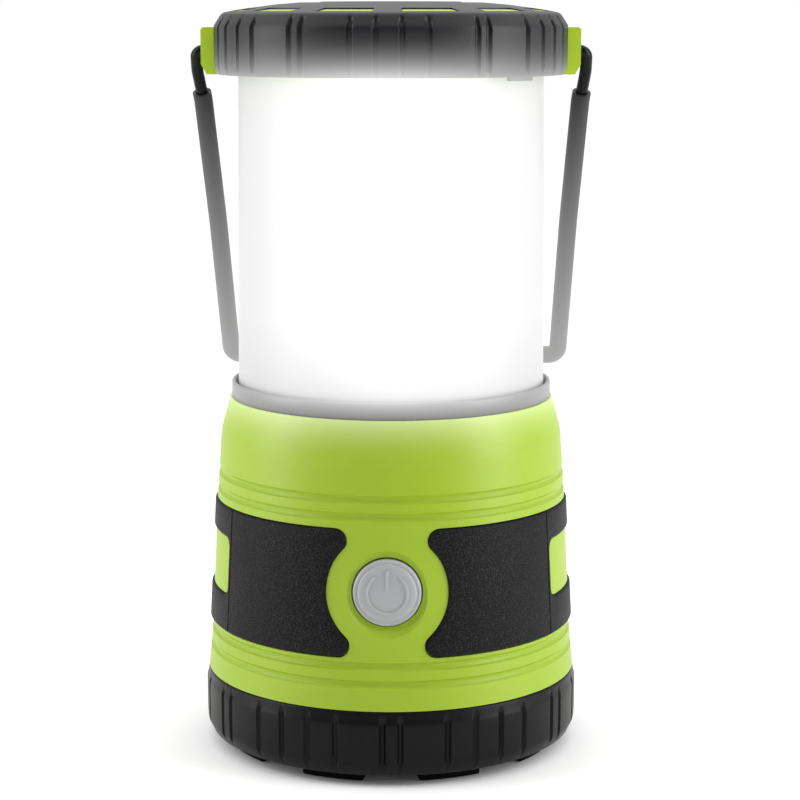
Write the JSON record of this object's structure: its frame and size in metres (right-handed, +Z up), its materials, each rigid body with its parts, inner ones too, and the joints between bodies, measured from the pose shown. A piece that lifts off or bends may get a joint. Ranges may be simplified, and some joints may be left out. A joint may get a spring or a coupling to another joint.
{
  "type": "camping lantern",
  "caption": "Battery camping lantern: ribbed foot cover, body with grip pads and power button, lit frosted globe, ribbed cap and a swinging wire bail with a sleeve.",
  "frame": {"origin": "on the floor under the middle of the lantern", "axes": "+Z up; -Y is the front, where the power button is; +X to the right seen from the front"},
  "size_m": [0.1006, 0.0954, 0.1876],
  "materials": {
    "black_plastic": "fine matte moulding texture",
    "foot_rubber": "matte",
    "steel_wire": "bright drawn wire",
    "nickel_contact": "bright nickel plate",
    "seal_rubber": "matte",
    "green_plastic": "satin, fine moulding texture",
    "grip_rubber": "matte, grained",
    "button_silicone": "satin translucent silicone",
    "switch_metal": "satin",
    "circuit_board": "solder mask",
    "zinc_screw": "zinc plated",
    "cell_steel": "plain printed sleeve",
    "chip_black": "matte",
    "sink_aluminium": "satin",
    "white_board": "white solder mask",
    "lamp_phosphor": "glossy",
    "clear_lens": "clear",
    "lead_red": "satin",
    "lead_black": "satin",
    "collar_plastic": "satin",
    "frosted_globe": "frosted, lit from inside",
    "black_rubber": "matte",
    "reflector_white": "white",
    "grip_sleeve": "satin"
  },
  "bodies": {
    "body": {"body_shell": "green_plastic", "grip_pad_right": "grip_rubber", "grip_pad_left": "grip_rubber", "tact_switch": "switch_metal", "switch_board": "circuit_board", "switch_retainer": "black_plastic", "retainer_screws": "zinc_screw", "cell_cage": "black_plastic", "battery_cells": "cell_steel", "plus_contacts": "nickel_contact", "bay_roof": "black_plastic", "roof_screws": "zinc_screw", "driver_board": "circuit_board", "driver_parts": "chip_black", "heat_sink": "sink_aluminium", "lamp_board": "white_board", "lamp_chips": "lamp_phosphor", "lamp_screws": "zinc_screw", "lamp_lens": "clear_lens", "lead_red": "lead_red", "lead_black": "lead_black", "globe_collar": "collar_plastic"},
    "button": {"power_button": "button_silicone", "switch_plunger": "black_plastic"},
    "globe_ring": {"globe_seal": "seal_rubber"},
    "shade": {"globe": "frosted_globe", "cap_cover": "black_rubber", "cap_core": "green_plastic", "cap_reflector": "reflector_white", "cap_screws": "zinc_screw"},
    "bail": {"bail_wire": "steel_wire", "bail_grip": "grip_sleeve"},
    "cover_ring": {"cover_seal": "seal_rubber"},
    "cover": {"base_cover": "black_plastic", "foot_ring": "foot_rubber", "hook_block": "black_plastic", "spring_plate": "nickel_contact", "contact_springs": "nickel_contact"},
    "hook": {"base_hook": "steel_wire"}
  },
  "joints": [
    {"name": "button_press", "type": "slide", "parent": "body", "child": "button", "axis": [0, 1, 0], "range_m": [0, 0.001], "stiffness_N_per_m": 800, "springref_m": -0.0005},
    {"name": "globe_twist", "type": "hinge", "parent": "body", "child": "globe_ring", "pos_m": [0, 0, 0.0835], "axis": [0, 0, 1], "range_deg": [0, 30]},
    {"name": "globe_lift", "type": "slide", "parent": "globe_ring", "child": "shade", "axis": [0, 0, 1], "range_m": [0, 0.1]},
    {"name": "bail_swing", "type": "hinge", "parent": "shade", "child": "bail", "pos_m": [0, 0, 0.1756], "axis": [1, 0, 0], "range_deg": [0, 304]},
    {"name": "cover_twist", "type": "hinge", "parent": "body", "child": "cover_ring", "pos_m": [0, 0, 0.0151], "axis": [0, 0, 1], "range_deg": [0, 30]},
    {"name": "cover_pull", "type": "slide", "parent": "cover_ring", "child": "cover", "axis": [0, 0, -1], "range_m": [0, 0.075]},
    {"name": "hook_fold", "type": "hinge", "parent": "cover", "child": "hook", "pos_m": [0, 0.013, 0.00475], "axis": [1, 0, 0], "range_deg": [0, 100]}
  ]
}
